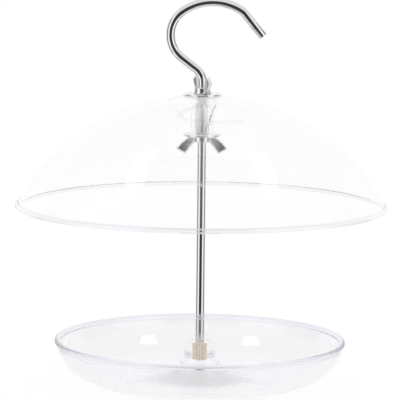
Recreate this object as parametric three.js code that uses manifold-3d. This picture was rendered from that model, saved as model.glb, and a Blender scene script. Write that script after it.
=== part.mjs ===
// Hanging dome bird feeder: a clear dome clamped to a hooked rod, above a clear seed dish.
// Millimetres, +Z up. The dish stands on z = 0, the rod is on the Z axis and the hook lies in the XZ plane.

import * as THREE from 'three';
import { mergeVertices, toCreasedNormals } from 'three/addons/utils/BufferGeometryUtils.js';
import Module from 'manifold-3d';

const wasm = await Module();
wasm.setup();

// Heights that set the feeder out
const DISH_HEIGHT = 31.6; // base to the top of the dish's rim
const RIM_GAP = 89; // top of the dish's rim to the underside of the dome's rim
const DOME_HEIGHT = 75.6; // underside of the dome's rim to the washer seat on top

// Dish
const DISH_DIAMETER = 196.8;
const DISH_BASE_DIAMETER = 105;
const DISH_WALL = 2.4;
const DISH_FLOOR = 2.5;
const DISH_BEAD_DIAMETER = 3.6;
const DISH_BOSS_DIAMETER = 19.5;
const DISH_BOSS_HEIGHT = 29.7;
const DISH_BOSS_CHAMFER = 0.6;
const DISH_FLARE_RADIUS = 26;
const DISH_WEB = 2.4; // plastic left under the insert
const DRAIN_HOLE_DIAMETER = 4;
const DRAIN_CIRCLE_DIAMETER = 84;
const DRAIN_HOLES = 4;

// Brass insert in the dish's boss
const INSERT_DIAMETER = 7;
const INSERT_LENGTH = 13;
const INSERT_RECESS = 0.5;
const INSERT_CLEARANCE = 0.3;
const KNURL_DEPTH = 0.3;
const KNURL_TEETH = 24;

// Dome
const DOME_DIAMETER = 250;
const DOME_WALL = 2;
const DOME_BEAD_DIAMETER = 3.4;
const SEAT_MARGIN = 0.7; // flat on top, past the edge of the washer
const DOME_BOSS_DIAMETER = 15.1;
const DOME_BOSS_LENGTH = 25.4;
const RIB_COUNT = 4;
const RIB_THICKNESS = 1.6;
const RIB_REACH = 17; // along the dome's underside, from the boss
const RIB_FOOT = 4.7; // bare boss below the ribs
const RIB_TURN = 22; // degrees, first rib from +X

// Clamp: sleeve, washers and wing nuts
const SLEEVE_DIAMETER = 8;
const SLEEVE_RUNNING_GAP = 0.2; // sleeve to rod
const SLEEVE_CLEARANCE = 0.3; // sleeve to the dome's boss and the washers
const SLEEVE_TIP_RECESS = 0.4;
const SLEEVE_CONE_LENGTH = 1.4;
const SLEEVE_TIP_WALL = 0.4;
const SPLIT_WIDTH = 1; // the sleeve is split along its whole length, towards -Y
const WASHER_DIAMETER = 25.4;
const WASHER_THICKNESS = 1.5;
const CLAMP_GAP = 0.1; // between stacked faces of the clamp

// Wing nuts
const NUT_THREAD_CLEARANCE = 0.2;
const HUB_DIAMETER = 12;
const HUB_TOP_DIAMETER = 10.8;
const HUB_HEIGHT = 3.9;
const HUB_CHAMFER = 0.4;
const WING_SPAN = 34.6;
const WING_HEIGHT = 12;
const WING_THICKNESS = 2.6;
const WING_FOOT_OUT = 2.4; // where the wing's lower edge leaves the hub
const WING_FOOT_RISE = 0.5;
const WING_ROOT_RISE = 1.2; // the wing's upper edge leaves the hub this much above its top
const WING_TIP_WIDTH = 6.2; // across the tip, measured along the radius
const WING_TIP_DROP = 3.4; // the tip's outer corner is this much lower than its inner one
const WING_BULGE = 0.75;
const WING_CORNER = 0.8;
const PAD_DEPTH = 0.4;
const PAD_ALONG = [0.12, 0.9]; // shares of the wing, from hub to tip
const PAD_ACROSS = [0.14, 0.88]; // shares of the wing, from outer to inner edge
const UPPER_NUT_TURN = -72; // degrees, from +X
const LOWER_NUT_TURN = 0;

// Rod and hook, bent in order from the shank to the tip
const ROD_DIAMETER = 6;
const ROD_END_GAP = 0.8; // rod's end to the insert's lower end
const SPIGOT_DIAMETER = 5; // the rod's threaded end
const SHOULDER_GAP = 0.3; // rod's shoulder to the top of the dish's boss
const SHANK_ABOVE_NUT = 3.6;
const SHANK_BEND_RADIUS = 11;
const SHANK_BEND_ANGLE = 52.1;
const OFFSET_LENGTH = 12.7;
const LOOP_RADIUS = 19.2;
const LOOP_ANGLE = 106.4;
const CROWN_RADIUS = 34.8;
const CROWN_ANGLE = 67.8;
const TIP_BEND_RADIUS = 11;
const TIP_BEND_ANGLE = 18.4;
const TIP_LENGTH = 19.6;

// Facets
const SHELL_SEGMENTS = 48;
const ROUND_SEGMENTS = 32;
const HOLE_SEGMENTS = 16;
const ROD_SIDES = 18;
const BEND_STEP = 10; // degrees of bend between rings of the rod
const DISH_STEPS = { hollow: 6, outside: 11, bead: 8, inside: 10, flare: 8 };
const DOME_STEPS = { inside: 13, bead: 10, outside: 14 };
const WING_CURVE_STEPS = 4;
const CREASE = THREE.MathUtils.degToRad(35);
const MERGE_DISTANCE = 1e-4;

// Places worked out from the sizes
const rodRadius = ROD_DIAMETER / 2;
const domeRimZ = DISH_HEIGHT + RIM_GAP;
const seatZ = domeRimZ + DOME_HEIGHT;
const bossEndZ = seatZ - DOME_BOSS_LENGTH;
const upperWasherZ = seatZ + CLAMP_GAP;
const upperNutZ = upperWasherZ + WASHER_THICKNESS + CLAMP_GAP;
const lowerWasherZ = bossEndZ - CLAMP_GAP - WASHER_THICKNESS;
const lowerNutZ = lowerWasherZ - CLAMP_GAP;
const sleeveTopZ = upperNutZ + HUB_HEIGHT - SLEEVE_TIP_RECESS;
const sleeveEndZ = lowerNutZ - HUB_HEIGHT + SLEEVE_TIP_RECESS;
const sleeveRadius = SLEEVE_DIAMETER / 2;
const sleeveBore = rodRadius + SLEEVE_RUNNING_GAP;
const sleeveTipRadius = sleeveBore + SLEEVE_TIP_WALL;
const clampBore = sleeveRadius + SLEEVE_CLEARANCE;
const insertTopZ = DISH_BOSS_HEIGHT - INSERT_RECESS;
const insertEndZ = insertTopZ - INSERT_LENGTH;
const spigotRadius = SPIGOT_DIAMETER / 2;
const insertBore = spigotRadius + INSERT_CLEARANCE;
const rodEndZ = insertEndZ + ROD_END_GAP;
const shoulderZ = DISH_BOSS_HEIGHT + SHOULDER_GAP;
const shankTopZ = upperNutZ + HUB_HEIGHT + SHANK_ABOVE_NUT;

const radians = THREE.MathUtils.degToRad;
const point = (x, y) => new THREE.Vector2(x, y);

// Points along an ellipse's arc, from one angle to another in radians
function arc(centre, radiusX, radiusY, from, to, steps) {
  const points = [];
  for (let i = 0; i <= steps; i += 1) {
    const angle = from + ((to - from) * i) / steps;
    points.push(point(centre.x + radiusX * Math.cos(angle), centre.y + radiusY * Math.sin(angle)));
  }
  return points;
}

// Positions only, with shared vertices merged and collapsed triangles dropped
function bare(geometry) {
  const positions = new THREE.BufferGeometry();
  positions.setAttribute('position', geometry.getAttribute('position'));
  positions.setIndex(geometry.index);
  const merged = mergeVertices(positions, MERGE_DISTANCE);
  const corners = Array.from(merged.index.array);
  const kept = [];
  for (let i = 0; i < corners.length; i += 3) {
    const [a, b, c] = corners.slice(i, i + 3);
    if (a !== b && b !== c && c !== a) {
      kept.push(a, b, c);
    }
  }
  merged.setIndex(kept);
  return merged;
}

function solid(geometry) {
  const merged = bare(geometry);
  const mesh = new wasm.Mesh({
    numProp: 3,
    vertProperties: Float32Array.from(merged.getAttribute('position').array),
    triVerts: Uint32Array.from(merged.index.array),
  });
  return new wasm.Manifold(mesh);
}

function geometryOf(body) {
  const mesh = body.getMesh();
  const geometry = new THREE.BufferGeometry();
  geometry.setAttribute('position', new THREE.BufferAttribute(mesh.vertProperties, 3));
  geometry.setIndex(Array.from(mesh.triVerts));
  return geometry;
}

// A closed outline of radius and height, counterclockwise, turned round the Z axis
function turned(outline, segments) {
  const closes = outline[0].x > 0;
  const profile = closes ? [...outline, outline[0].clone()] : outline;
  return bare(new THREE.LatheGeometry(profile, segments).rotateX(Math.PI / 2));
}

// A flat plate whose outline is drawn in radius and height, standing on the Z axis towards +X
function upright(shape, thickness) {
  const options = { depth: thickness, bevelEnabled: false, curveSegments: WING_CURVE_STEPS };
  const plate = new THREE.ExtrudeGeometry(shape, options);
  return plate.translate(0, 0, -thickness / 2).rotateX(Math.PI / 2);
}

function ring(innerRadius, outerRadius, height) {
  const outline = [
    point(innerRadius, 0),
    point(outerRadius, 0),
    point(outerRadius, height),
    point(innerRadius, height),
  ];
  return turned(outline, ROUND_SEGMENTS);
}

// Rod: a threaded spigot, a straight shank, then the bends of the hook

class HookLine extends THREE.Curve {
  constructor(stations) {
    super();
    this.stations = stations;
  }

  station(u) {
    return this.stations[Math.round(u * (this.stations.length - 1))];
  }

  getPointAt(u, target = new THREE.Vector3()) {
    return target.copy(this.station(u).place);
  }

  getTangentAt(u, target = new THREE.Vector3()) {
    const { heading } = this.station(u);
    return target.set(Math.cos(heading), 0, Math.sin(heading));
  }
}

function hookStations() {
  let heading = Math.PI / 2;
  const place = new THREE.Vector3(0, 0, shoulderZ);
  const stations = [];
  const mark = () => stations.push({ place: place.clone(), heading });
  const straight = (length) => {
    place.add(new THREE.Vector3(Math.cos(heading), 0, Math.sin(heading)).multiplyScalar(length));
    mark();
  };
  const bend = (radius, degrees) => {
    const steps = Math.ceil(Math.abs(degrees) / BEND_STEP);
    const turn = radians(degrees) / steps;
    const chord = 2 * radius * Math.sin(Math.abs(turn) / 2);
    for (let i = 0; i < steps; i += 1) {
      const along = heading + turn / 2;
      place.add(new THREE.Vector3(Math.cos(along), 0, Math.sin(along)).multiplyScalar(chord));
      heading += turn;
      mark();
    }
  };
  mark();
  straight(shankTopZ - shoulderZ);
  bend(SHANK_BEND_RADIUS, SHANK_BEND_ANGLE);
  straight(OFFSET_LENGTH);
  bend(LOOP_RADIUS, -LOOP_ANGLE);
  bend(CROWN_RADIUS, -CROWN_ANGLE);
  bend(TIP_BEND_RADIUS, -TIP_BEND_ANGLE);
  straight(TIP_LENGTH);
  return stations;
}

function rodGeometry() {
  const stations = hookStations();
  const circle = arc(point(0, 0), rodRadius, rodRadius, 0, 2 * Math.PI, ROD_SIDES);
  const section = new THREE.Shape(circle.slice(1));
  const options = { steps: stations.length - 1, extrudePath: new HookLine(stations) };
  const rod = new THREE.ExtrudeGeometry(section, options);
  const spigotLength = shoulderZ - rodEndZ + ROD_DIAMETER;
  const spigot = new THREE.CylinderGeometry(spigotRadius, spigotRadius, spigotLength, ROD_SIDES);
  spigot.rotateX(Math.PI / 2).translate(0, 0, rodEndZ + spigotLength / 2);
  return geometryOf(solid(rod).add(solid(spigot)));
}

// Dish: an elliptic bowl with a bead round its rim and a flared, hollow boss in the middle

function dishGeometry() {
  const beadRadius = DISH_BEAD_DIAMETER / 2;
  const rimZ = DISH_HEIGHT - beadRadius;
  const beadR = DISH_DIAMETER / 2 - beadRadius;
  const innerRimR = beadR - beadRadius;
  const outerRimR = innerRimR + DISH_WALL;
  const baseR = DISH_BASE_DIAMETER / 2;
  const bossR = DISH_BOSS_DIAMETER / 2;
  const pocketR = INSERT_DIAMETER / 2 + INSERT_CLEARANCE;
  const pocketZ = insertEndZ - INSERT_CLEARANCE;
  const hollowZ = pocketZ - DISH_WEB;
  const bowl = point(baseR, rimZ);
  const bead = point(beadR, rimZ);
  const flare = point(bossR + DISH_FLARE_RADIUS, DISH_FLOOR + DISH_FLARE_RADIUS);
  const hollowRadius = DISH_FLARE_RADIUS + DISH_FLOOR;
  const hollowFrom = Math.PI + Math.asin((flare.y - hollowZ) / hollowRadius);
  const beadFrom = -Math.acos((outerRimR - beadR) / beadRadius);
  const wallTo = -Math.asin((-beadRadius * Math.sin(beadFrom)) / rimZ);
  const bottom = -Math.PI / 2;
  const outline = [
    point(0, hollowZ),
    ...arc(flare, hollowRadius, hollowRadius, hollowFrom, Math.PI * 1.5, DISH_STEPS.hollow),
    ...arc(bowl, outerRimR - baseR, rimZ, bottom, wallTo, DISH_STEPS.outside),
    ...arc(bead, beadRadius, beadRadius, beadFrom, Math.PI, DISH_STEPS.bead).slice(1),
    ...arc(bowl, innerRimR - baseR, rimZ - DISH_FLOOR, 0, bottom, DISH_STEPS.inside).slice(1),
    ...arc(flare, DISH_FLARE_RADIUS, DISH_FLARE_RADIUS, Math.PI * 1.5, Math.PI, DISH_STEPS.flare),
    point(bossR, DISH_BOSS_HEIGHT - DISH_BOSS_CHAMFER),
    point(bossR - DISH_BOSS_CHAMFER, DISH_BOSS_HEIGHT),
    point(pocketR, DISH_BOSS_HEIGHT),
    point(pocketR, pocketZ),
    point(0, pocketZ),
  ];
  let dish = solid(turned(outline, SHELL_SEGMENTS));
  for (let i = 0; i < DRAIN_HOLES; i += 1) {
    const angle = ((i + 0.5) * 2 * Math.PI) / DRAIN_HOLES;
    const holeR = DRAIN_HOLE_DIAMETER / 2;
    const drill = new THREE.CylinderGeometry(holeR, holeR, 3 * DISH_FLOOR, HOLE_SEGMENTS);
    drill.rotateX(Math.PI / 2);
    drill.translate(DRAIN_CIRCLE_DIAMETER / 2, 0, DISH_FLOOR / 2).rotateZ(angle);
    dish = dish.subtract(solid(drill));
  }
  return geometryOf(dish);
}

function insertGeometry() {
  const outline = [];
  const points = KNURL_TEETH * 2;
  for (let i = 0; i < points; i += 1) {
    const angle = (i * 2 * Math.PI) / points;
    const radius = INSERT_DIAMETER / 2 - (i % 2) * KNURL_DEPTH;
    outline.push(point(radius * Math.cos(angle), radius * Math.sin(angle)));
  }
  const section = new THREE.Shape(outline);
  const bore = arc(point(0, 0), insertBore, insertBore, 0, 2 * Math.PI, ROD_SIDES);
  section.holes.push(new THREE.Path(bore.slice(1)));
  return bare(new THREE.ExtrudeGeometry(section, { depth: INSERT_LENGTH, bevelEnabled: false }));
}

// Dome: a spherical cap between the flat washer seat and the rim bead, with a boss and gusset ribs below

function domeGeometry() {
  const beadRadius = DOME_BEAD_DIAMETER / 2;
  const bead = point(DOME_DIAMETER / 2 - beadRadius, domeRimZ + beadRadius);
  const seatR = WASHER_DIAMETER / 2 + SEAT_MARGIN;
  const bossR = DOME_BOSS_DIAMETER / 2;
  const rimR = bead.x + DOME_WALL / 2;
  const squares = seatR ** 2 + seatZ ** 2 - rimR ** 2 - bead.y ** 2;
  const centre = point(0, squares / (2 * (seatZ - bead.y)));
  const outerR = Math.hypot(seatR, seatZ - centre.y);
  const innerR = outerR - DOME_WALL;
  const reach = bead.clone().sub(centre);
  const tilt = reach.angle();
  const span = reach.length();
  const squaresAway = span ** 2 + beadRadius ** 2;
  const meet = (radius) => Math.acos((radius ** 2 - squaresAway) / (2 * span * beadRadius));
  const onBead = (angle) => bead.clone().add(point(Math.cos(angle), Math.sin(angle)).setLength(beadRadius));
  const beadFrom = tilt + meet(innerR);
  const beadTo = tilt + meet(outerR) + 2 * Math.PI;
  const sphereAngle = (at) => at.clone().sub(centre).angle();
  const innerTop = Math.acos(bossR / innerR);
  const outerFrom = sphereAngle(onBead(beadTo));
  const outline = [
    point(clampBore, bossEndZ),
    point(bossR, bossEndZ),
    ...arc(centre, innerR, innerR, innerTop, sphereAngle(onBead(beadFrom)), DOME_STEPS.inside),
    ...arc(bead, beadRadius, beadRadius, beadFrom, beadTo, DOME_STEPS.bead).slice(1),
    ...arc(centre, outerR, outerR, outerFrom, sphereAngle(point(seatR, seatZ)), DOME_STEPS.outside).slice(1),
    point(clampBore, seatZ),
  ];
  let dome = solid(turned(outline, SHELL_SEGMENTS));
  const sunk = DOME_WALL / 2;
  const ribEndR = bossR + RIB_REACH;
  const underside = (radius) => centre.y + Math.sqrt(innerR ** 2 - radius ** 2);
  const ribShape = new THREE.Shape([
    point(bossR - sunk, bossEndZ + RIB_FOOT),
    point(bossR, bossEndZ + RIB_FOOT),
    point(ribEndR, underside(ribEndR)),
    point(ribEndR, underside(ribEndR) + sunk),
    point(bossR - sunk, underside(bossR)),
  ]);
  for (let i = 0; i < RIB_COUNT; i += 1) {
    const turn = radians(RIB_TURN) + (i * 2 * Math.PI) / RIB_COUNT;
    dome = dome.add(solid(upright(ribShape, RIB_THICKNESS).rotateZ(turn)));
  }
  return geometryOf(dome);
}

// Clamp: a split sleeve whose coned ends close on the rod as the wing nuts are tightened

function sleeveGeometry() {
  const outline = [
    point(sleeveBore, sleeveEndZ),
    point(sleeveTipRadius, sleeveEndZ),
    point(sleeveRadius, sleeveEndZ + SLEEVE_CONE_LENGTH),
    point(sleeveRadius, sleeveTopZ - SLEEVE_CONE_LENGTH),
    point(sleeveTipRadius, sleeveTopZ),
    point(sleeveBore, sleeveTopZ),
  ];
  const split = new THREE.BoxGeometry(SPLIT_WIDTH, SLEEVE_DIAMETER, 2 * sleeveTopZ);
  split.translate(0, -SLEEVE_DIAMETER / 2, sleeveTopZ);
  return geometryOf(solid(turned(outline, ROUND_SEGMENTS)).subtract(solid(split)));
}

// One wing, drawn in radius and height above the nut's bearing face
function wingCorners() {
  const tipR = WING_SPAN / 2;
  return {
    foot: point(HUB_DIAMETER / 2 + WING_FOOT_OUT, WING_FOOT_RISE),
    outerTip: point(tipR, WING_HEIGHT - WING_TIP_DROP),
    innerTip: point(tipR - WING_TIP_WIDTH, WING_HEIGHT),
    shoulder: point(HUB_TOP_DIAMETER / 2 + HUB_CHAMFER, HUB_HEIGHT + WING_ROOT_RISE),
    hubLow: point(HUB_DIAMETER / 2 - HUB_CHAMFER, WING_FOOT_RISE),
    hubHigh: point(HUB_TOP_DIAMETER / 2 - HUB_CHAMFER, HUB_HEIGHT - 2 * HUB_CHAMFER),
  };
}

function wingShape() {
  const { foot, outerTip, innerTip, shoulder, hubLow, hubHigh } = wingCorners();
  const edge = outerTip.clone().sub(foot);
  const bulge = foot.clone().add(outerTip).multiplyScalar(0.5);
  bulge.add(point(edge.y, -edge.x).setLength(2 * WING_BULGE));
  const towards = (from, to) => from.clone().add(to.clone().sub(from).setLength(WING_CORNER));
  const shape = new THREE.Shape();
  const line = (to) => shape.lineTo(to.x, to.y);
  const curve = (by, to) => shape.quadraticCurveTo(by.x, by.y, to.x, to.y);
  shape.moveTo(hubLow.x, hubLow.y);
  line(foot);
  curve(bulge, towards(outerTip, bulge));
  curve(outerTip, towards(outerTip, innerTip));
  line(towards(innerTip, outerTip));
  curve(innerTip, towards(innerTip, shoulder));
  line(shoulder);
  line(hubHigh);
  return shape;
}

// The sunk thumb pad covers the outer part of the wing, inside a border
function padShape() {
  const { foot, outerTip, innerTip, shoulder } = wingCorners();
  const place = (s, t) => foot.clone().lerp(outerTip, s).lerp(shoulder.clone().lerp(innerTip, s), t);
  return new THREE.Shape([
    place(PAD_ALONG[0], PAD_ACROSS[0]),
    place(PAD_ALONG[1], PAD_ACROSS[0]),
    place(PAD_ALONG[1], PAD_ACROSS[1]),
    place(PAD_ALONG[0], PAD_ACROSS[1]),
  ]);
}

function wingNutGeometry() {
  const threadR = sleeveRadius + NUT_THREAD_CLEARANCE;
  const mouthR = sleeveTipRadius + NUT_THREAD_CLEARANCE;
  const hubR = HUB_DIAMETER / 2;
  const topR = HUB_TOP_DIAMETER / 2;
  const outline = [
    point(threadR, 0),
    point(hubR - HUB_CHAMFER, 0),
    point(hubR, HUB_CHAMFER),
    point(topR, HUB_HEIGHT - HUB_CHAMFER),
    point(topR - HUB_CHAMFER, HUB_HEIGHT),
    point(mouthR, HUB_HEIGHT),
    point(threadR, HUB_HEIGHT - SLEEVE_CONE_LENGTH),
  ];
  let nut = solid(turned(outline, ROUND_SEGMENTS));
  for (const turn of [0, Math.PI]) {
    let wing = solid(upright(wingShape(), WING_THICKNESS));
    for (const side of [-1, 1]) {
      const pad = upright(padShape(), 2 * PAD_DEPTH);
      wing = wing.subtract(solid(pad.translate(0, (side * WING_THICKNESS) / 2, 0)));
    }
    nut = nut.add(solid(geometryOf(wing).rotateZ(turn)));
  }
  return geometryOf(nut);
}

// Materials

const chrome = new THREE.MeshStandardMaterial({ color: 0xc9cbcd, metalness: 1, roughness: 0.08 });
const zinc = new THREE.MeshStandardMaterial({ color: 0xb9bbb8, metalness: 1, roughness: 0.35 });
const brass = new THREE.MeshStandardMaterial({ color: 0xc2a878, metalness: 1, roughness: 0.4 });
const nylon = new THREE.MeshStandardMaterial({ color: 0xe6e8ea, roughness: 0.5 });
nylon.transparent = true;
nylon.opacity = 0.6;
const clear = new THREE.MeshStandardMaterial({ color: 0xf0f1f5, roughness: 0.05 });
clear.transparent = true;
clear.opacity = 0.25;

// Assembly

const feeder = new THREE.Group();

function addPiece(name, geometry, material, z = 0) {
  const mesh = new THREE.Mesh(toCreasedNormals(geometry, CREASE), material);
  mesh.name = name;
  mesh.position.z = z;
  feeder.add(mesh);
  return mesh;
}

addPiece('hook_rod', rodGeometry(), chrome);
addPiece('feed_dish', dishGeometry(), clear);
addPiece('thread_insert', insertGeometry(), brass, insertEndZ);
addPiece('dome_cover', domeGeometry(), clear);
addPiece('clamp_sleeve', sleeveGeometry(), nylon);

const washerRadius = WASHER_DIAMETER / 2;
addPiece('upper_washer', ring(clampBore, washerRadius, WASHER_THICKNESS), zinc, upperWasherZ);
addPiece('lower_washer', ring(clampBore, washerRadius, WASHER_THICKNESS), zinc, lowerWasherZ);

const upperNut = addPiece('upper_wing_nut', wingNutGeometry(), zinc, upperNutZ);
upperNut.rotation.z = radians(UPPER_NUT_TURN);
const lowerNut = addPiece('lower_wing_nut', wingNutGeometry(), zinc, lowerNutZ);
lowerNut.rotation.set(Math.PI, 0, radians(LOWER_NUT_TURN));

export default feeder;
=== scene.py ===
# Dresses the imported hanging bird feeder: clear mouldings, hook rod, clamp hardware and a white studio.

import math

import bmesh
import bpy
from mathutils import Matrix, Vector


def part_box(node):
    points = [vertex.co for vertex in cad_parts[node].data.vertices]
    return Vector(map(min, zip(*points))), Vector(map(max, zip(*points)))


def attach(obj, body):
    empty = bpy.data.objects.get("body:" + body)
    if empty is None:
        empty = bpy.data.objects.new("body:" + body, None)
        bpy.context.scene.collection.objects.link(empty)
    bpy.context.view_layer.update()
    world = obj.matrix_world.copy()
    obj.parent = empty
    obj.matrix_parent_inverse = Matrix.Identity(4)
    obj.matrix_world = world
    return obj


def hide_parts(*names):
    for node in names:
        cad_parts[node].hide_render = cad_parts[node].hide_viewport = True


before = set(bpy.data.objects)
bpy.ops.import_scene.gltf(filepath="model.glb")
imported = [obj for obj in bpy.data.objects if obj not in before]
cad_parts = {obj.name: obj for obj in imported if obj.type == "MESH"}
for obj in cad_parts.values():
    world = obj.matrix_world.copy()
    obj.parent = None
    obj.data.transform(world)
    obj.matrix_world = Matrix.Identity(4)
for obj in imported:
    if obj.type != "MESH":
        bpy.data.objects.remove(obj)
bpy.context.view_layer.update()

MM = 0.001
TURN = 2 * math.pi

# Clear mouldings, the sizes that the frame's boxes don't give
DISH_BASE_RADIUS = 52.5 * MM
DISH_WALL = 2.4 * MM
DISH_FLOOR = 2.5 * MM
DISH_BEAD_RADIUS = 1.8 * MM
DISH_BOSS_RADIUS = 9.75 * MM
DISH_BOSS_HEIGHT = 29.7 * MM
DISH_BOSS_EDGE = 0.6 * MM
DISH_FLARE_RADIUS = 26 * MM
DISH_WEB = 2.7 * MM
DRAIN_HOLES = 4
DRAIN_HOLE_RADIUS = 2 * MM
DRAIN_CIRCLE_RADIUS = 42 * MM
DOME_WALL = 2 * MM
DOME_BEAD_RADIUS = 1.7 * MM
DOME_BOSS_RADIUS = 7.55 * MM
DOME_BOSS_LENGTH = 25.4 * MM
SEAT_RADIUS = 13.4 * MM
BOSS_BORE = 4.3 * MM
RIB_COUNT = 4
RIB_THICKNESS = 1.6 * MM
RIB_REACH = 17 * MM
RIB_FOOT = 4.7 * MM
RIB_TURN = math.radians(22)
BEAD_BLEND = 1 * MM

# Rod, bent in order from the shank to the tip
ROD_RADIUS = 3 * MM
SPIGOT_RADIUS = 2.5 * MM
SPIGOT_THREAD_DEPTH = 0.42 * MM
SPIGOT_PITCH = 0.8 * MM
SPIGOT_RUN_OUT = 1.6 * MM
SHOULDER_GAP = 0.3 * MM
END_CHAMFER = 0.5 * MM
TIP_EDGE_SHARE = 0.3
SHANK_ABOVE_NUT = 3.6 * MM
BENDS = (
    {"radius": 11 * MM, "degrees": 52.1, "straight_after": 12.7 * MM},
    {"radius": 19.2 * MM, "degrees": -106.4, "straight_after": 0},
    {"radius": 34.8 * MM, "degrees": -67.8, "straight_after": 0},
    {"radius": 11 * MM, "degrees": -18.4, "straight_after": 19.6 * MM},
)

# Clamp hardware
SLEEVE_BORE = 3.2 * MM
SLEEVE_TIP_RADIUS = 3.6 * MM
SLEEVE_CONE = 1.4 * MM
SLEEVE_THREAD_LENGTH = 9 * MM
SLEEVE_THREAD_DEPTH = 0.35 * MM
SLEEVE_PITCH = 1.25 * MM
SPLIT_WIDTH = 1 * MM
WASHER_EDGE = 0.35 * MM
HUB_RADIUS = 6 * MM
HUB_TOP_RADIUS = 5.4 * MM
HUB_HEIGHT = 3.9 * MM
HUB_BORE = 4.2 * MM
WING_REACH = 17.3 * MM
WING_HEIGHT = 12 * MM
WING_THICKNESS = 2.6 * MM
WING_FOOT_OUT = 2.4 * MM
WING_FOOT_RISE = 0.5 * MM
WING_ROOT_OUT = 0.4 * MM
WING_ROOT_RISE = 1.2 * MM
WING_TIP_WIDTH = 6.2 * MM
WING_TIP_DROP = 3.4 * MM
WING_BULGE = 0.75 * MM
WING_CORNER = 0.8 * MM
PAD_DEPTH = 0.55 * MM
PAD_BORDER = 1 * MM
# Distances from the nut's axis over which the pads darken into a painted dark reflection at the wing tips
PAD_SHADE_FROM = 8 * MM
PAD_SHADE_TO = 13 * MM
PAD_FLATNESS = 0.9
UPPER_NUT_TURN = math.radians(-72)
CAST_VOXEL = 0.2 * MM
CAST_SMOOTHING = 4

# Brass insert
INSERT_BORE = 2.8 * MM
INSERT_SUNK = 0.35 * MM
KNURL_TEETH = 24
KNURL_DEPTH = 0.3 * MM

# Mesh steps
SHELL_SEGMENTS = 256
ROUND_SEGMENTS = 96
DRILL_SEGMENTS = 32
DISH_STEPS = {"hollow": 20, "wall": 48, "bead": 24, "flare": 28, "edge": 5}
DOME_STEPS = {"shell": 64, "bead": 32}
WASHER_EDGE_STEPS = 4
WING_EDGE_STEPS = 12
WING_CORNER_STEPS = 5
STEPS_PER_PITCH = 8
STEPS_PER_TOOTH = 8
ROD_SIDES = 48
BEND_STEP = math.radians(2)
CREASE = math.radians(32)
KNURL_CREASE = math.radians(20)

# Looks: noise scales, and ranges of roughness as (low, high)
NOISE_LOW = 0.3
NOISE_HIGH = 0.7
PLASTIC_TINT = (0.3, 0.3, 0.62)
PLASTIC_IOR = 1.5
PLASTIC_LAMP_SHARE = 0.92
FLOW_SCALE = 18
WEAR_SCALE = 90
WEAR_STRETCH = (1, 1, 5)
WEAR_FROM = 0.5
WEAR_TO = 0.75
WAVE_SCALE = 30
WAVE_STRENGTH = 0.03
WAVE_HEIGHT = 0.4 * MM
CLEAR_POLISH = (0, 0.05)
FROSTED_POLISH = (0.3, 0.4)
DRAWN_SCALE = 900
DRAWN_STRETCH = (1, 1, 0.02)
CHROME_POLISH = (0.04, 0.08)
MOTTLE_SCALE = 420
ZINC_SMOOTHER = 0.06
ZINC_ROUGHER = 0.08
ZINC_SKIN_SCALE = 1500
ZINC_SKIN_STRENGTH = 0.12
ZINC_SKIN_HEIGHT = 0.1 * MM
PLATE_ROUGHNESS = 0.2
PADS_ROUGHNESS = 0.3
TARNISH_SCALE = 600
BRASS_POLISH = (0.25, 0.42)
# Share of the knurl's depth at its crests kept bright; deeper, the brass blends into painted groove shade
CREST_SHARE = 0.2
CLOUD_SCALE = 300
NYLON_IOR = 1.5
NYLON_CLEARNESS = 0.9
NYLON_POLISH = (0.06, 0.14)
NYLON_LAMP_SHARE = 0.5

# Camera, found from the photograph's own perspective
CAMERA_PLACE = Vector((-0.85, -1850, 371.4)) * MM
CAMERA_PITCH = math.radians(7.56)
CAMERA_ROLL = math.radians(0.62)
FRAME_PIXELS = 400
FOCAL_PIXELS = 2773
SENSOR_WIDTH = 36

UP = Vector((0, 0, 1))


# Mesh helpers

def arc(centre, radii, start, end, steps):
    """Points along an ellipse's arc, as (radius, height)."""
    points = []
    for i in range(steps + 1):
        angle = start + (end - start) * i / steps
        points.append((centre[0] + radii[0] * math.cos(angle), centre[1] + radii[1] * math.sin(angle)))
    return points


def new_object(name, bm):
    bmesh.ops.recalc_face_normals(bm, faces=bm.faces)
    mesh = bpy.data.meshes.new(name)
    bm.to_mesh(mesh)
    bm.free()
    obj = bpy.data.objects.new(name, mesh)
    bpy.context.scene.collection.objects.link(obj)
    return obj


def skin(bm, rings, closed):
    """Faces between rings of vertices; a ring of one vertex is a pole."""
    pairs = list(zip(rings, rings[1:]))
    if closed:
        pairs.append((rings[-1], rings[0]))
    for low, high in pairs:
        for i in range(max(len(low), len(high))):
            corners = (
                low[i % len(low)],
                low[(i + 1) % len(low)],
                high[(i + 1) % len(high)],
                high[i % len(high)],
            )
            distinct = tuple(dict.fromkeys(corners))
            if len(distinct) > 2:
                bm.faces.new(distinct)


def lathe_rings(bm, outline, segments, ripple=None):
    rings = []
    for radius, height in outline:
        if radius == 0:
            rings.append([bm.verts.new((0, 0, height))])
            continue
        ring = []
        for i in range(segments):
            angle = TURN * i / segments
            cut = ripple(radius, height, angle) if ripple else 0
            spot = Vector((math.cos(angle), math.sin(angle), 0)) * (radius - cut)
            ring.append(bm.verts.new(spot + UP * height))
        rings.append(ring)
    return rings


def lathe(name, outline, segments, ripple=None):
    """A closed outline of (radius, height) turned round the Z axis.

    ripple gives the depth cut at a point.
    """
    bm = bmesh.new()
    skin(bm, lathe_rings(bm, outline, segments, ripple), closed=True)
    return new_object(name, bm)


def prism(bm, outline, thickness):
    """A flat plate with its outline in the XZ plane, centred on Y, with its two sides returned."""
    sides = []
    for y in (-thickness / 2, thickness / 2):
        sides.append([bm.verts.new((x, y, z)) for x, z in outline])
    skin(bm, sides, closed=False)
    return [bm.faces.new(side) for side in sides]


def bake(obj):
    """Turns an object's modifiers into its mesh."""
    bpy.context.view_layer.update()
    depsgraph = bpy.context.evaluated_depsgraph_get()
    mesh = bpy.data.meshes.new_from_object(obj.evaluated_get(depsgraph))
    obj.modifiers.clear()
    obj.data = mesh


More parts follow.
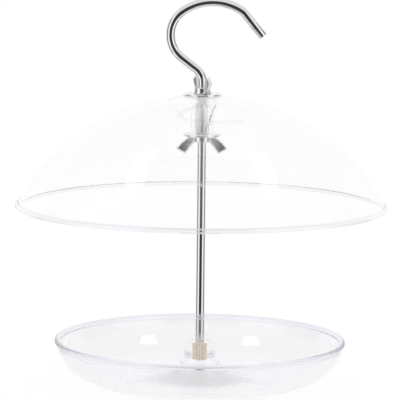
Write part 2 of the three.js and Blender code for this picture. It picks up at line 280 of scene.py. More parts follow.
def combine(body, tool, operation):
    modifier = body.modifiers.new("combine", "BOOLEAN")
    modifier.operation = operation
    modifier.solver = "EXACT"
    modifier.object = tool
    bake(body)
    bpy.data.objects.remove(tool)


def shade_smooth(obj, crease=CREASE):
    for polygon in obj.data.polygons:
        polygon.use_smooth = True
    obj.data.set_sharp_from_angle(angle=crease)


def fit_to_frame(obj, node, body, materials):
    for material in materials:
        obj.data.materials.append(material)
    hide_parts(node)
    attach(obj, body)


# Node helpers for materials

def link(tree, source, target):
    tree.links.new(source, target)


def start_material(name):
    material = bpy.data.materials.new(name)
    material.use_nodes = True
    tree = material.node_tree
    shader = tree.nodes["Principled BSDF"]
    return material, tree, shader


def object_noise(tree, scale, stretch=(1, 1, 1), detail=4):
    """Noise in the piece's own space, so that it moves with the piece."""
    place = tree.nodes.new("ShaderNodeTexCoord")
    mapping = tree.nodes.new("ShaderNodeMapping")
    mapping.inputs["Scale"].default_value = stretch
    noise = tree.nodes.new("ShaderNodeTexNoise")
    noise.inputs["Scale"].default_value = scale
    noise.inputs["Detail"].default_value = detail
    link(tree, place.outputs["Object"], mapping.inputs["Vector"])
    link(tree, mapping.outputs["Vector"], noise.inputs["Vector"])
    return noise.outputs["Fac"]


def spread(tree, value, low, high, source_low=NOISE_LOW, source_high=NOISE_HIGH):
    """Maps a value from one range onto another."""
    node = tree.nodes.new("ShaderNodeMapRange")
    node.inputs["From Min"].default_value = source_low
    node.inputs["From Max"].default_value = source_high
    node.inputs["To Min"].default_value = low
    node.inputs["To Max"].default_value = high
    link(tree, value, node.inputs["Value"])
    return node.outputs["Result"]


def two_colours(tree, value, dark, light):
    ramp = tree.nodes.new("ShaderNodeValToRGB")
    ramp.color_ramp.elements[0].position = NOISE_LOW
    ramp.color_ramp.elements[0].color = (*dark, 1)
    ramp.color_ramp.elements[1].position = NOISE_HIGH
    ramp.color_ramp.elements[1].color = (*light, 1)
    link(tree, value, ramp.inputs["Fac"])
    return ramp.outputs["Color"]


def from_axis(tree):
    """Distance from the piece's own Z axis."""
    place = tree.nodes.new("ShaderNodeTexCoord")
    flat = tree.nodes.new("ShaderNodeVectorMath")
    flat.operation = "MULTIPLY"
    flat.inputs[1].default_value = (1, 1, 0)
    length = tree.nodes.new("ShaderNodeVectorMath")
    length.operation = "LENGTH"
    link(tree, place.outputs["Object"], flat.inputs[0])
    link(tree, flat.outputs["Vector"], length.inputs[0])
    return length.outputs["Value"]


def maths(tree, operation, *values):
    node = tree.nodes.new("ShaderNodeMath")
    node.operation = operation
    for socket, value in zip(node.inputs, values):
        if isinstance(value, (int, float)):
            socket.default_value = value
        else:
            link(tree, value, socket)
    return node.outputs["Value"]


def colour_mix(tree, factor, low, high):
    """Mixes two greys, colours or colour outputs."""
    mix = tree.nodes.new("ShaderNodeMix")
    mix.data_type = "RGBA"
    link(tree, factor, mix.inputs["Factor"])
    for name, source in (("A", low), ("B", high)):
        socket = next(s for s in mix.inputs if s.name == name and s.type == "RGBA")
        if isinstance(source, (int, float)):
            socket.default_value = (source, source, source, 1)
        elif isinstance(source, tuple):
            socket.default_value = (*source, 1)
        else:
            link(tree, source, socket)
    return next(s for s in mix.outputs if s.type == "RGBA")


def in_bead(tree, bead):
    """1 in the bead at a rim, fading to 0 just inside it and away from it in height."""
    place = tree.nodes.new("ShaderNodeTexCoord")
    parts = tree.nodes.new("ShaderNodeSeparateXYZ")
    link(tree, place.outputs["Object"], parts.inputs["Vector"])
    outside = spread(tree, from_axis(tree), 0, 1, bead["radius"] - BEAD_BLEND, bead["radius"])
    level = spread(tree, parts.outputs["Z"], 0, 1, bead["level"] + bead["away"] * BEAD_BLEND, bead["level"])
    return maths(tree, "MULTIPLY", outside, level)


def bump(tree, shader, value, strength, distance):
    node = tree.nodes.new("ShaderNodeBump")
    node.inputs["Strength"].default_value = strength
    node.inputs["Distance"].default_value = distance
    link(tree, value, node.inputs["Height"])
    link(tree, node.outputs["Normal"], shader.inputs["Normal"])


def let_lamps_through(tree, shader, share):
    """Lets a share of the lamps' light through to what lies behind, as clear plastic does."""
    path = tree.nodes.new("ShaderNodeLightPath")
    passed = maths(tree, "MULTIPLY", path.outputs["Is Shadow Ray"], share)
    clear = tree.nodes.new("ShaderNodeBsdfTransparent")
    mix = tree.nodes.new("ShaderNodeMixShader")
    output = tree.nodes["Material Output"]
    link(tree, passed, mix.inputs["Fac"])
    link(tree, shader.outputs["BSDF"], mix.inputs[1])
    link(tree, clear.outputs["BSDF"], mix.inputs[2])
    link(tree, mix.outputs["Shader"], output.inputs["Surface"])


# Materials

def absorb(tree, colour, density):
    """Tints what passes through the thickness of a piece."""
    volume = tree.nodes.new("ShaderNodeVolumeAbsorption")
    volume.inputs["Color"].default_value = (*colour, 1)
    volume.inputs["Density"].default_value = density
    link(tree, volume.outputs["Volume"], tree.nodes["Material Output"].inputs["Volume"])


def clear_plastic(name, bead, dark, light, thick, clearness, density, polish=CLEAR_POLISH):
    """Clear moulded styrene with faint flow, slight waves, fine wear and more tint in the bead at its rim.

    Its haze is on the outside of the faces only, so that light led along inside a wall stays bright.
    """
    material, tree, shader = start_material(name)
    absorb(tree, PLASTIC_TINT, density)
    shader.inputs["IOR"].default_value = PLASTIC_IOR
    inside = tree.nodes.new("ShaderNodeNewGeometry").outputs["Backfacing"]
    link(tree, spread(tree, inside, clearness, 1, 0, 1), shader.inputs["Transmission Weight"])
    flow = object_noise(tree, FLOW_SCALE, detail=2)
    wall = two_colours(tree, flow, dark, light)
    link(tree, colour_mix(tree, in_bead(tree, bead), wall, thick), shader.inputs["Base Color"])
    wear = object_noise(tree, WEAR_SCALE, stretch=WEAR_STRETCH)
    link(tree, spread(tree, wear, *polish, WEAR_FROM, WEAR_TO), shader.inputs["Roughness"])
    waves = object_noise(tree, WAVE_SCALE, detail=1)
    bump(tree, shader, waves, WAVE_STRENGTH, WAVE_HEIGHT)
    let_lamps_through(tree, shader, PLASTIC_LAMP_SHARE)
    return material


def chrome():
    """Bright chrome on a drawn rod, with fine marks along its length."""
    material, tree, shader = start_material("chrome")
    shader.inputs["Metallic"].default_value = 1
    drawn = object_noise(tree, DRAWN_SCALE, stretch=DRAWN_STRETCH)
    colour = two_colours(tree, drawn, (0.70, 0.71, 0.72), (0.77, 0.775, 0.78))
    link(tree, colour, shader.inputs["Base Color"])
    link(tree, spread(tree, drawn, *CHROME_POLISH), shader.inputs["Roughness"])
    return material


def zinc_grain(tree, shader, roughness):
    """Mottle, satin and a slightly uneven skin, as zinc plate has on a casting."""
    shader.inputs["Metallic"].default_value = 1
    mottle = object_noise(tree, MOTTLE_SCALE)
    satin = spread(tree, mottle, roughness - ZINC_SMOOTHER, roughness + ZINC_ROUGHER)
    link(tree, satin, shader.inputs["Roughness"])
    skin_noise = object_noise(tree, ZINC_SKIN_SCALE, detail=2)
    bump(tree, shader, skin_noise, ZINC_SKIN_STRENGTH, ZINC_SKIN_HEIGHT)
    return mottle


def zinc_plate():
    material, tree, shader = start_material("zinc_plate")
    mottle = zinc_grain(tree, shader, PLATE_ROUGHNESS)
    colour = two_colours(tree, mottle, (0.74, 0.75, 0.74), (0.84, 0.85, 0.84))
    link(tree, colour, shader.inputs["Base Color"])
    return material


def zinc_pads():
    """The sunk faces of the wings, darker towards the tips with a painted dark reflection."""
    material, tree, shader = start_material("zinc_pads")
    mottle = zinc_grain(tree, shader, PADS_ROUGHNESS)
    root = two_colours(tree, mottle, (0.60, 0.62, 0.62), (0.70, 0.72, 0.72))
    # Near-black tip colour: painted dark reflection on the outer half of the pads
    tip = two_colours(tree, mottle, (0.15, 0.155, 0.165), (0.21, 0.215, 0.225))
    along = spread(tree, from_axis(tree), 0, 1, PAD_SHADE_FROM, PAD_SHADE_TO)
    link(tree, colour_mix(tree, along, root, tip), shader.inputs["Base Color"])
    return material


def brass(radius):
    """Machined brass, bright on the knurl's crests, with painted shade in brown between them."""
    material, tree, shader = start_material("brass")
    shader.inputs["Metallic"].default_value = 1
    tarnish = object_noise(tree, TARNISH_SCALE)
    crest_starts = radius - CREST_SHARE * KNURL_DEPTH
    crest = spread(tree, from_axis(tree), 0, 1, radius - KNURL_DEPTH, crest_starts)
    # Brown between the knurl's crests is painted shade in the grooves
    groove_shade_colour = two_colours(tree, tarnish, (0.40, 0.26, 0.15), (0.53, 0.37, 0.22))
    crest_colour = two_colours(tree, tarnish, (0.90, 0.79, 0.64), (0.98, 0.92, 0.81))
    link(tree, colour_mix(tree, crest, groove_shade_colour, crest_colour), shader.inputs["Base Color"])
    link(tree, spread(tree, tarnish, *BRASS_POLISH), shader.inputs["Roughness"])
    return material


def nylon():
    """Milky nylon that lets blurred light through."""
    material, tree, shader = start_material("nylon")
    shader.inputs["IOR"].default_value = NYLON_IOR
    shader.inputs["Transmission Weight"].default_value = NYLON_CLEARNESS
    cloud = object_noise(tree, CLOUD_SCALE)
    colour = two_colours(tree, cloud, (0.93, 0.935, 0.94), (0.98, 0.98, 0.985))
    link(tree, colour, shader.inputs["Base Color"])
    link(tree, spread(tree, cloud, *NYLON_POLISH), shader.inputs["Roughness"])
    let_lamps_through(tree, shader, NYLON_LAMP_SHARE)
    return material


# Pieces

def mark_hollow(dish, flare, radius):
    """The cored-out underside of the boss takes the second material."""
    for polygon in dish.data.polygons:
        away = math.hypot(polygon.center.x, polygon.center.y)
        below = math.hypot(away - flare[0], polygon.center.z - flare[1]) > radius - DISH_FLOOR / 4
        if below and polygon.normal.z < 0 and away < flare[0]:
            polygon.material_index = 1


def make_dish(materials, insert_radius):
    _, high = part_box("feed_dish")
    insert_low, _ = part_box("thread_insert")
    rim_z = high.z - DISH_BEAD_RADIUS
    bead_r = high.x - DISH_BEAD_RADIUS
    inner_rim = bead_r - DISH_BEAD_RADIUS
    outer_rim = inner_rim + DISH_WALL
    bowl = (DISH_BASE_RADIUS, rim_z)
    inside = (inner_rim - DISH_BASE_RADIUS, rim_z - DISH_FLOOR)
    bead = (bead_r, rim_z)
    flare = (DISH_BOSS_RADIUS + DISH_FLARE_RADIUS, DISH_FLOOR + DISH_FLARE_RADIUS)
    hollow_radius = DISH_FLARE_RADIUS + DISH_FLOOR
    hollow_z = insert_low.z - DISH_WEB
    hollow_start = math.pi + math.asin((flare[1] - hollow_z) / hollow_radius)
    bead_start = -math.acos((outer_rim - bead_r) / DISH_BEAD_RADIUS)
    wall_end = math.asin(DISH_BEAD_RADIUS * math.sin(bead_start) / rim_z)
    pocket_r = insert_radius - INSERT_SUNK
    pocket_z = insert_low.z - INSERT_SUNK
    edge = (DISH_BOSS_RADIUS - DISH_BOSS_EDGE, DISH_BOSS_HEIGHT - DISH_BOSS_EDGE)
    down = -math.pi / 2
    outline = [
        (0, hollow_z),
        *arc(flare, (hollow_radius, hollow_radius), hollow_start, math.pi * 1.5, DISH_STEPS["hollow"]),
        *arc(bowl, (outer_rim - DISH_BASE_RADIUS, rim_z), down, wall_end, DISH_STEPS["wall"]),
        *arc(bead, (DISH_BEAD_RADIUS, DISH_BEAD_RADIUS), bead_start, math.pi, DISH_STEPS["bead"])[1:],
        *arc(bowl, inside, 0, down, DISH_STEPS["wall"])[1:],
        *arc(flare, (DISH_FLARE_RADIUS, DISH_FLARE_RADIUS), math.pi * 1.5, math.pi, DISH_STEPS["flare"]),
        *arc(edge, (DISH_BOSS_EDGE, DISH_BOSS_EDGE), 0, math.pi / 2, DISH_STEPS["edge"]),
        (pocket_r, DISH_BOSS_HEIGHT),
        (pocket_r, pocket_z),
        (0, pocket_z),
    ]
    dish = lathe("dish", outline, SHELL_SEGMENTS)
    for i in range(DRAIN_HOLES):
        drill = lathe("drill", [
            (0, -DISH_FLOOR),
            (DRAIN_HOLE_RADIUS, -DISH_FLOOR),
            (DRAIN_HOLE_RADIUS, 2 * DISH_FLOOR),
            (0, 2 * DISH_FLOOR),
        ], DRILL_SEGMENTS)
        angle = TURN * (i + 0.5) / DRAIN_HOLES
        drill.location = Matrix.Rotation(angle, 3, "Z") @ Vector((DRAIN_CIRCLE_RADIUS, 0, 0))
        combine(dish, drill, "DIFFERENCE")
    shade_smooth(dish)
    fit_to_frame(dish, "feed_dish", "dish", materials)
    mark_hollow(dish, flare, hollow_radius)


def make_rib(underside, boss_end):
    sunk = DOME_WALL / 2
    rib_end = DOME_BOSS_RADIUS + RIB_REACH
    foot = boss_end + RIB_FOOT
    bm = bmesh.new()
    prism(bm, [
        (DOME_BOSS_RADIUS - sunk, foot),
        (DOME_BOSS_RADIUS, foot),
        (rib_end, underside(rib_end)),
        (rib_end, underside(rib_end) + sunk),
        (DOME_BOSS_RADIUS - sunk, underside(DOME_BOSS_RADIUS)),
    ], RIB_THICKNESS)
    return new_object("rib", bm)


def make_dome(material):
    low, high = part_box("dome_cover")
    bead = Vector((high.x - DOME_BEAD_RADIUS, low.z + DOME_BEAD_RADIUS))
    rim_r = bead.x + DOME_WALL / 2
    boss_end = high.z - DOME_BOSS_LENGTH
    squares = SEAT_RADIUS ** 2 + high.z ** 2 - rim_r ** 2 - bead.y ** 2
    centre = Vector((0, squares / (2 * (high.z - bead.y))))
    outer = math.hypot(SEAT_RADIUS, high.z - centre.y)
    inner = outer - DOME_WALL
    reach = bead - centre
    tilt = math.atan2(reach.y, reach.x)
    squares_away = reach.length_squared + DOME_BEAD_RADIUS ** 2

    def meets_bead(radius):
        return math.acos((radius ** 2 - squares_away) / (2 * reach.length * DOME_BEAD_RADIUS))

    def sphere_angle(angle):
        spot = bead + Vector((math.cos(angle), math.sin(angle))) * DOME_BEAD_RADIUS - centre
        return math.atan2(spot.y, spot.x)

    def underside(radius):
        return centre.y + math.sqrt(inner ** 2 - radius ** 2)

    bead_start = tilt + meets_bead(inner)
    bead_end = tilt + meets_bead(outer) + TURN
    inner_top = math.acos(DOME_BOSS_RADIUS / inner)
    seat_angle = math.acos(SEAT_RADIUS / outer)
    outline = [
        (BOSS_BORE, boss_end),
        (DOME_BOSS_RADIUS, boss_end),
        *arc(centre, (inner, inner), inner_top, sphere_angle(bead_start), DOME_STEPS["shell"]),
        *arc(bead, (DOME_BEAD_RADIUS, DOME_BEAD_RADIUS), bead_start, bead_end, DOME_STEPS["bead"])[1:],
        *arc(centre, (outer, outer), sphere_angle(bead_end), seat_angle, DOME_STEPS["shell"])[1:],
        (BOSS_BORE, high.z),
    ]
    dome = lathe("dome", outline, SHELL_SEGMENTS)
    for i in range(RIB_COUNT):
        rib = make_rib(underside, boss_end)
        rib.rotation_euler.z = RIB_TURN + TURN * i / RIB_COUNT
        combine(dome, rib, "UNION")
    shade_smooth(dome)
    fit_to_frame(dome, "dome_cover", "dome", [material])


def thread_stations(low, top):
    """The turned end of the rod: chamfer, thread and run-out, up to the shoulder."""
    root = SPIGOT_RADIUS - SPIGOT_THREAD_DEPTH
    thread_top = top - SPIGOT_RUN_OUT
    steps = round((thread_top - low) / SPIGOT_PITCH * STEPS_PER_PITCH)
    stations = [(Vector((0, 0, low)), math.pi / 2, root - END_CHAMFER / 2, 0)]
    for i in range(steps + 1):
        z = low + END_CHAMFER / 2 + (thread_top - low - END_CHAMFER / 2) * i / steps
        stations.append((Vector((0, 0, z)), math.pi / 2, SPIGOT_RADIUS, SPIGOT_THREAD_DEPTH))
    stations.append((Vector((0, 0, thread_top + END_CHAMFER / 2)), math.pi / 2, root, 0))
    stations.append((Vector((0, 0, top)), math.pi / 2, root, 0))
    return stations


def hook_stations(shoulder, shank_top):
    """Places, headings and radii along the shank and round the hook, to the chamfered tip."""
    heading = math.pi / 2
    place = Vector((0, 0, shoulder))
    edge = END_CHAMFER / 2
    stations = [
        (place.copy(), heading, ROD_RADIUS - edge, 0),
        (place + UP * edge, heading, ROD_RADIUS, 0),
    ]
    place = Vector((0, 0, shank_top))
    stations.append((place.copy(), heading, ROD_RADIUS, 0))
    for bend in BENDS:
        angle = math.radians(bend["degrees"])
        steps = math.ceil(abs(angle) / BEND_STEP)
        turn = angle / steps
        chord = 2 * bend["radius"] * math.sin(abs(turn) / 2)
        for _ in range(steps):
            along = heading + turn / 2
            place = place + Vector((math.cos(along), 0, math.sin(along))) * chord
            heading += turn
            stations.append((place.copy(), heading, ROD_RADIUS, 0))
        ahead = Vector((math.cos(heading), 0, math.sin(heading)))
        if bend["straight_after"]:
            place = place + ahead * bend["straight_after"]
            stations.append((place.copy(), heading, ROD_RADIUS, 0))
    tip = stations.pop()
    stations.append((tip[0] - ahead * END_CHAMFER, heading, ROD_RADIUS, 0))
    tip_edge = END_CHAMFER * TIP_EDGE_SHARE
    stations.append((tip[0] - ahead * tip_edge, heading, ROD_RADIUS - tip_edge, 0))
    stations.append((tip[0], heading, ROD_RADIUS - END_CHAMFER, 0))
    return stations


def make_rod(material):
    low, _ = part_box("hook_rod")
    nut_low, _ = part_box("upper_wing_nut")
    shoulder = DISH_BOSS_HEIGHT + SHOULDER_GAP
    shank_top = nut_low.z + HUB_HEIGHT + SHANK_ABOVE_NUT
    stations = thread_stations(low.z, shoulder) + hook_stations(shoulder, shank_top)
    bm = bmesh.new()
    rings = [[bm.verts.new(stations[0][0])]]
    for place, heading, radius, depth in stations:
        across = Vector((-math.sin(heading), 0, math.cos(heading)))
        ring = []
        for i in range(ROD_SIDES):
            angle = TURN * i / ROD_SIDES
            ridge = abs(2 * ((place.z / SPIGOT_PITCH - i / ROD_SIDES) % 1) - 1)
            spot = across * math.cos(angle) + Vector((0, math.sin(angle), 0))
            ring.append(bm.verts.new(place + spot * (radius - depth * ridge)))
        rings.append(ring)
    rings.append([bm.verts.new(stations[-1][0])])
    skin(bm, rings, closed=False)
    rod = new_object("rod", bm)
    shade_smooth(rod)
    fit_to_frame(rod, "hook_rod", "rod", [material])


def make_insert():
    low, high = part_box("thread_insert")
    radius = high.x
    edge = KNURL_DEPTH

    def knurl(r, _, angle):
        if r < radius:
            return 0
        tooth = angle * KNURL_TEETH / TURN % 1
        return KNURL_DEPTH * abs(2 * tooth - 1)

    outline = [
        (INSERT_BORE, low.z),
        (radius - 2 * edge, low.z),
        (radius, low.z + edge),
        (radius, high.z - edge),
        (radius - 2 * edge, high.z),
        (INSERT_BORE, high.z),
    ]
    insert = lathe("insert", outline, KNURL_TEETH * STEPS_PER_TOOTH, knurl)
    shade_smooth(insert, KNURL_CREASE)
    fit_to_frame(insert, "thread_insert", "dish", [brass(radius)])
    return radius


def sleeve_thread(start, radius, direction):
    """One end's thread as rings of ridges, from the cone inwards."""
    points = []
    turns = int(SLEEVE_THREAD_LENGTH / SLEEVE_PITCH)
    for i in range(turns):
        z = start + direction * i * SLEEVE_PITCH
        points.append((radius - SLEEVE_THREAD_DEPTH, z))
        points.append((radius, z + direction * SLEEVE_PITCH / 2))
    points.append((radius - SLEEVE_THREAD_DEPTH, start + direction * turns * SLEEVE_PITCH))
    points.append((radius, start + direction * (turns + 0.5) * SLEEVE_PITCH))
    return points


def make_sleeve(material):
    low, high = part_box("clamp_sleeve")
    radius = high.x
    outline = [
        (SLEEVE_BORE, low.z),
        (SLEEVE_TIP_RADIUS, low.z),
        *sleeve_thread(low.z + SLEEVE_CONE, radius, 1),
        *reversed(sleeve_thread(high.z - SLEEVE_CONE, radius, -1)),
        (SLEEVE_TIP_RADIUS, high.z),
        (SLEEVE_BORE, high.z),
    ]
    sleeve = lathe("sleeve", outline, ROUND_SEGMENTS)
    cut_low = low.z - MM
    cut_high = high.z + MM
    bm = bmesh.new()
    prism(bm, [(0, cut_low), (2 * radius, cut_low), (2 * radius, cut_high), (0, cut_high)], SPLIT_WIDTH)
    split = new_object("split", bm)
    split.rotation_euler.z = -math.pi / 2
    combine(sleeve, split, "DIFFERENCE")
    shade_smooth(sleeve)
    fit_to_frame(sleeve, "clamp_sleeve", "clamp", [material])


def make_washer(name, node, body, material):
    low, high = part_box(node)
    radius = high.x
    bore = BOSS_BORE + WASHER_EDGE
    round_over = (WASHER_EDGE, WASHER_EDGE)
    quarter = math.pi / 2
    outline = [
        *arc((radius - WASHER_EDGE, low.z + WASHER_EDGE), round_over, -quarter, 0, WASHER_EDGE_STEPS),
        *arc((radius - WASHER_EDGE, high.z - WASHER_EDGE), round_over, 0, quarter, WASHER_EDGE_STEPS),
        *arc((bore, high.z - WASHER_EDGE), round_over, quarter, 2 * quarter, WASHER_EDGE_STEPS),
        *arc((bore, low.z + WASHER_EDGE), round_over, 2 * quarter, 3 * quarter, WASHER_EDGE_STEPS),
    ]
    washer = lathe(name, outline, ROUND_SEGMENTS)
    shade_smooth(washer)
    fit_to_frame(washer, node, body, [material])


def curve(start, control, end, steps):
    """Points along a quadratic curve, after its start."""
    points = []
    for i in range(1, steps + 1):
        t = i / steps
        points.append(start * (1 - t) ** 2 + control * 2 * t * (1 - t) + end * t ** 2)
    return points


def add_wing(bm, side):
    """A thumb wing with a sunk pad on each face, drawn in radius and height above the bearing face."""
    foot = Vector((HUB_RADIUS + WING_FOOT_OUT, WING_FOOT_RISE))
    outer_tip = Vector((WING_REACH, WING_HEIGHT - WING_TIP_DROP))
    inner_tip = Vector((WING_REACH - WING_TIP_WIDTH, WING_HEIGHT))
    shoulder = Vector((HUB_TOP_RADIUS + WING_ROOT_OUT, HUB_HEIGHT + WING_ROOT_RISE))
    lower_edge = outer_tip - foot
    bulge = (foot + outer_tip) / 2 + Vector((lower_edge.y, -lower_edge.x)).normalized() * 2 * WING_BULGE

    def towards(start, end):
        return start + (end - start).normalized() * WING_CORNER

    outline = [Vector((HUB_BORE + WING_ROOT_OUT, WING_FOOT_RISE)), foot]
    outline += curve(foot, bulge, towards(outer_tip, bulge), WING_EDGE_STEPS)
    outline += curve(outline[-1], outer_tip, towards(outer_tip, inner_tip), WING_CORNER_STEPS)
    outline.append(towards(inner_tip, outer_tip))
    outline += curve(outline[-1], inner_tip, towards(inner_tip, shoulder), WING_CORNER_STEPS)
    outline += [shoulder, Vector((HUB_BORE + WING_ROOT_OUT, HUB_HEIGHT - WING_ROOT_OUT))]
    faces = prism(bm, [(side * spot.x, spot.y) for spot in outline], WING_THICKNESS)
    bmesh.ops.recalc_face_normals(bm, faces=bm.faces)
    for face in faces:
        bmesh.ops.inset_region(bm, faces=[face], thickness=PAD_BORDER, depth=0)
        shift = Vector((0, -math.copysign(PAD_DEPTH, face.calc_center_median().y), 0))
        bmesh.ops.translate(bm, verts=face.verts, vec=shift)


def mark_pads(nut):
    """The pads' floors take the second material."""
    floor = WING_THICKNESS / 2 - PAD_DEPTH
    for polygon in nut.data.polygons:
        sunk = abs(abs(polygon.center.y) - floor) < PAD_DEPTH / 3
        flat = abs(polygon.normal.y) > PAD_FLATNESS
        if sunk and flat and abs(polygon.center.x) > HUB_RADIUS:
            polygon.material_index = 1


def make_nut(name, node, body, turn, flipped, materials):
    low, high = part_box(node)
    bearing = high.z if flipped else low.z
    bm = bmesh.new()
    hub = lathe_rings(bm, [
        (HUB_BORE, 0),
        (HUB_RADIUS, 0),
        (HUB_TOP_RADIUS, HUB_HEIGHT),
        (HUB_BORE, HUB_HEIGHT),
    ], ROUND_SEGMENTS)
    skin(bm, hub, closed=True)
    for side in (-1, 1):
        add_wing(bm, side)
    nut = new_object(name, bm)
    remesh = nut.modifiers.new("cast", "REMESH")
    remesh.mode = "VOXEL"
    remesh.voxel_size = CAST_VOXEL
    soften = nut.modifiers.new("soften", "SMOOTH")
    soften.iterations = CAST_SMOOTHING
    bake(nut)
    nut.location.z = bearing
    nut.rotation_euler = (math.pi if flipped else 0, 0, turn)
    shade_smooth(nut, math.pi)
    fit_to_frame(nut, node, body, materials)
    mark_pads(nut)


# Studio

# Brightness near the horizon, by degrees from -X turning through the front at 90, as metal mirrors it
MIRRORED = (
    (0, 0.3), (12, 0.3), (18, 1.2), (53, 1.2), (59, 0.05), (121, 0.05), (127, 1.2), (162, 1.2), (168, 0.3),
    (205, 0.3), (215, 1), (325, 1), (335, 0.3),
)
MIRRORED_ABOVE = 0.95
# The same as clear plastic bends it
BENT = (
    (0, 0.95), (20, 0.9), (60, 0.8), (120, 0.8), (160, 0.9), (180, 0.95), (200, 1), (340, 1), (355, 0.95),
)
BENT_ABOVE = 0.95
# Grey for light that was mirrored more often than the count below
LED_ALONG = 0.96
MIRRORED_COUNT = 1.5
# Height in the sky, from 0 at the horizon to 1 overhead, at which the bands fade into the room above
BANDS_END = 0.36
ROOM_STARTS = 0.5
FLOOR_SIZE = 12
FLOOR_ROUGHNESS = 0.9
# Distances at which the white table fades into the bands, and the share of its light that is its own
TABLE_NEAR = 0.13
TABLE_FAR = 0.2
TABLE_GLOW = 0.9
# Painted shadow on the table under the feeder: its brightness by distance from its axis, as clear plastic
# bends it
SHADE = ((0, 0.64), (0.026, 0.71), (0.04, 0.9), (0.06, 0.97), (0.12, 0.9), (0.25, 0.93), (0.4, 1))
SOFTBOX_LENGTH = 0.75
SOFTBOX_WIDTH = 0.22
SOFTBOX_WATTS = 0.9
SOFTBOX_ASIDE = 0.64
SOFTBOX_HEIGHT = 1.36
SOFTBOX_TURN = math.radians(24)
SOFTBOX_TARGET = Vector((0, 0, 0.02))
LIGHT_BOUNCES = 96
CLEAR_BOUNCES = 24


def by_ray(tree, ray, otherwise, shown):
    """One colour for a kind of ray, another for the rest."""
    path = tree.nodes.new("ShaderNodeLightPath")
    return colour_mix(tree, path.outputs[ray], otherwise, shown)


def led_along(tree, otherwise):
    """An even grey for light that was mirrored more than once, as along the inside of a clear wall."""
    path = tree.nodes.new("ShaderNodeLightPath")
    often = maths(tree, "GREATER_THAN", path.outputs["Glossy Depth"], MIRRORED_COUNT)
    return colour_mix(tree, often, otherwise, LED_ALONG)


def steps(tree, value, stops):
    """Greys that blend from stop to stop, each stop a position and a grey."""
    ramp = tree.nodes.new("ShaderNodeValToRGB")
    elements = ramp.color_ramp.elements
    while len(elements) < len(stops):
        elements.new(0.5)
    for element, (position, grey) in zip(elements, stops):
        element.position = position
        element.color = (grey, grey, grey, 1)
    link(tree, value, ramp.inputs["Fac"])
    return ramp.outputs["Color"]


def studio_bands(tree, direction, bands):
    """The studio round the feeder, in upright bands that blend into each other."""
    around = tree.nodes.new("ShaderNodeTexGradient")
    around.gradient_type = "RADIAL"
    link(tree, direction, around.inputs["Vector"])
    return steps(tree, around.outputs["Fac"], [(degrees / 360, grey) for degrees, grey in bands])


def make_floor():
    """A white table under the feeder, which fades into the studio's bands further out, with a painted
    shadow under the feeder for light that comes through the clear plastic.
    """
    bm = bmesh.new()
    bmesh.ops.create_grid(bm, x_segments=1, y_segments=1, size=FLOOR_SIZE)
    floor = new_object("floor", bm)
    material, tree, shader = start_material("floor")
    place = tree.nodes.new("ShaderNodeTexCoord").outputs["Object"]
    distance = tree.nodes.new("ShaderNodeVectorMath")
    distance.operation = "LENGTH"
    link(tree, place, distance.inputs[0])
    far = spread(tree, distance.outputs["Value"], 0, 1, TABLE_NEAR, TABLE_FAR)
    mirrored = colour_mix(tree, far, 1, studio_bands(tree, place, MIRRORED))
    mirrored = by_ray(tree, "Glossy Depth", 1, mirrored)
    # Painted shadow under the feeder, shown to light that passed through the clear plastic
    bent = colour_mix(tree, steps(tree, distance.outputs["Value"], SHADE), 0, mirrored)
    colour = by_ray(tree, "Is Transmission Ray", mirrored, bent)
    colour = led_along(tree, colour)
    colour = by_ray(tree, "Is Diffuse Ray", colour, 1)
    colour = by_ray(tree, "Is Camera Ray", colour, 1)
    shader.inputs["Roughness"].default_value = FLOOR_ROUGHNESS
    shader.inputs["Specular IOR Level"].default_value = 0
    link(tree, colour, shader.inputs["Base Color"])
    glow = tree.nodes.new("ShaderNodeEmission")
    link(tree, colour, glow.inputs["Color"])
    mix = tree.nodes.new("ShaderNodeMixShader")
    mix.inputs["Fac"].default_value = TABLE_GLOW
    link(tree, shader.outputs["BSDF"], mix.inputs[1])
    link(tree, glow.outputs["Emission"], mix.inputs[2])
    link(tree, mix.outputs["Shader"], tree.nodes["Material Output"].inputs["Surface"])
    floor.data.materials.append(material)


def make_world():
    """The bands near the horizon, and the even room above them."""
    world = bpy.data.worlds.new("studio")
    bpy.context.scene.world = world
    world.use_nodes = True
    tree = world.node_tree
    direction = tree.nodes.new("ShaderNodeTexCoord").outputs["Generated"]
    parts = tree.nodes.new("ShaderNodeSeparateXYZ")
    link(tree, direction, parts.inputs["Vector"])
    above_bands = spread(tree, parts.outputs["Z"], 0, 1, BANDS_END, ROOM_STARTS)
    mirrored = colour_mix(tree, above_bands, studio_bands(tree, direction, MIRRORED), MIRRORED_ABOVE)
    bent = colour_mix(tree, above_bands, studio_bands(tree, direction, BENT), BENT_ABOVE)
    colour = by_ray(tree, "Is Transmission Ray", mirrored, bent)
    colour = led_along(tree, colour)
    colour = by_ray(tree, "Is Diffuse Ray", colour, 1)
    colour = by_ray(tree, "Is Camera Ray", colour, 1)
    link(tree, colour, tree.nodes["Background"].inputs["Color"])


def make_softbox(side):
    """A soft strip lamp overhead that faces the feeder, with its front end turned outwards."""
    lamp = bpy.data.lights.new("softbox", "AREA")
    lamp.shape = "RECTANGLE"
    lamp.size = SOFTBOX_LENGTH
    lamp.size_y = SOFTBOX_WIDTH
    lamp.energy = SOFTBOX_WATTS
    obj = bpy.data.objects.new("softbox", lamp)
    obj.visible_glossy = False
    place = Vector((side * SOFTBOX_ASIDE, 0, SOFTBOX_HEIGHT))
    aim = (SOFTBOX_TARGET - place).to_track_quat("-Z", "Y").to_matrix().to_4x4()
    roll = Matrix.Rotation(side * SOFTBOX_TURN, 4, "Z")
    obj.matrix_world = Matrix.Translation(place) @ aim @ roll
    bpy.context.scene.collection.objects.link(obj)


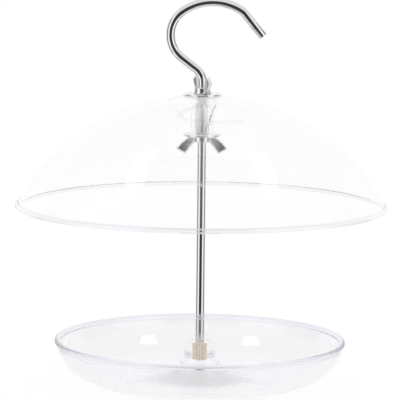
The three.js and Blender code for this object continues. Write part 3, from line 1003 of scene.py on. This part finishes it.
def make_camera():
    camera = bpy.data.cameras.new("camera")
    camera.sensor_width = SENSOR_WIDTH
    camera.lens = FOCAL_PIXELS * SENSOR_WIDTH / FRAME_PIXELS
    obj = bpy.data.objects.new("camera", camera)
    tilt = Matrix.Rotation(math.pi / 2 - CAMERA_PITCH, 4, "X")
    roll = Matrix.Rotation(CAMERA_ROLL, 4, "Z")
    obj.matrix_world = Matrix.Translation(CAMERA_PLACE) @ tilt @ roll
    bpy.context.scene.collection.objects.link(obj)
    bpy.context.scene.camera = obj


def set_up_scene():
    scene = bpy.context.scene
    scene.view_settings.view_transform = "Standard"
    scene.cycles.max_bounces = LIGHT_BOUNCES
    scene.cycles.transmission_bounces = LIGHT_BOUNCES
    scene.cycles.glossy_bounces = LIGHT_BOUNCES
    scene.cycles.transparent_max_bounces = CLEAR_BOUNCES


set_up_scene()
make_camera()
make_world()
make_floor()
for side in (-1, 1):
    make_softbox(side)

make_rod(chrome())
insert_radius = make_insert()
dish_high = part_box("feed_dish")[1]
dish_look = {
    "bead": {
        "radius": dish_high.x - 2 * DISH_BEAD_RADIUS,
        "level": dish_high.z - 2 * DISH_BEAD_RADIUS,
        "away": -1,
    },
    "dark": (0.955, 0.955, 0.968),
    "light": (0.966, 0.966, 0.977),
    "thick": (0.88, 0.88, 0.93),
    "clearness": 0.9,
    "density": 1,
}
dome_low, dome_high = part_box("dome_cover")
dome_look = {
    "bead": {
        "radius": dome_high.x - 2 * DOME_BEAD_RADIUS,
        "level": dome_low.z + 2 * DOME_BEAD_RADIUS,
        "away": 1,
    },
    "dark": (0.99, 0.99, 0.994),
    "light": (1, 1, 1),
    "thick": (0.945, 0.945, 0.972),
    "clearness": 1,
    "density": 1,
}
dish_plastic = clear_plastic("dish_plastic", **dish_look)
frosted_plastic = clear_plastic("frosted_plastic", **dish_look, polish=FROSTED_POLISH)
dome_plastic = clear_plastic("dome_plastic", **dome_look)
make_dish([dish_plastic, frosted_plastic], insert_radius)
make_dome(dome_plastic)
make_sleeve(nylon())
plate = zinc_plate()
pads = zinc_pads()
make_washer("washer_upper", "upper_washer", "top_washer", plate)
make_washer("washer_lower", "lower_washer", "bottom_washer", plate)
make_nut("nut_upper", "upper_wing_nut", "top_nut", UPPER_NUT_TURN, False, [plate, pads])
make_nut("nut_lower", "lower_wing_nut", "bottom_nut", 0, True, [plate, pads])
